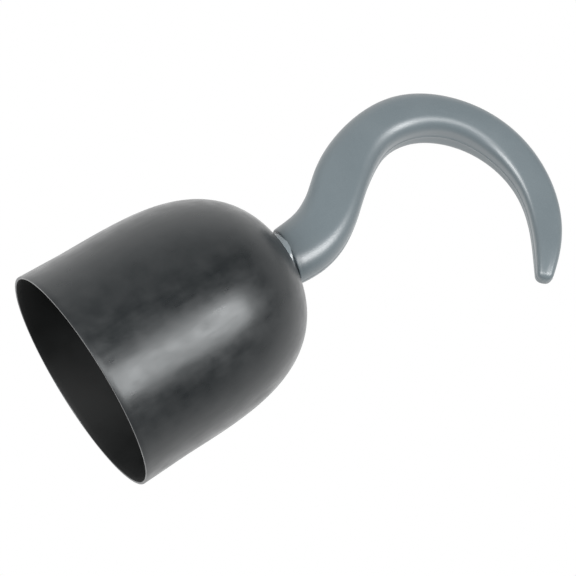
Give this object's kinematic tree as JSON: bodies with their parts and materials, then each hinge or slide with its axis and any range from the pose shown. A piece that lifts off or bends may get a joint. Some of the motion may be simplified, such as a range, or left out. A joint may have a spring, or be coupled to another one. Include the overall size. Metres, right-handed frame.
{
  "type": "costume hook hand",
  "caption": "Costume hook hand: a cuff cup worn over the fist, an inner crossbar grip, and a curved blunt hook that turns on the cup's crown.",
  "frame": {"origin": "centre of the cup's mouth, in the plane of its rim", "axes": "+Z along the cup's axis from the mouth to the crown, +X towards the side the hook's tip points to, hook on the plane y = 0"},
  "size_m": [0.1348, 0.11, 0.2492],
  "materials": {
    "cup_plastic": "satin black moulded plastic with a faint mottle",
    "hook_plastic": "satin blue-grey moulded plastic",
    "collar_plastic": "glossier blue-grey moulded plastic",
    "washer_plastic": "natural nylon",
    "grip_plastic": "fine-textured black moulded plastic",
    "screw_steel": "zinc-plated steel"
  },
  "bodies": {
    "cup": {"cuff_cup": "cup_plastic"},
    "hook_unit": {"hook_half_front": "hook_plastic", "hook_half_rear": "hook_plastic", "neck_collar": "collar_plastic", "crown_washer": "washer_plastic", "neck_plug": "hook_plastic", "grip_handle": "grip_plastic", "grip_screw": "screw_steel", "grip_screw_washer": "screw_steel"}
  },
  "joints": [
    {"name": "hook_swivel", "type": "hinge", "parent": "cup", "child": "hook_unit", "pos_m": [0, 0, 0.112], "axis": [0, 0, 1], "continuous": true}
  ]
}
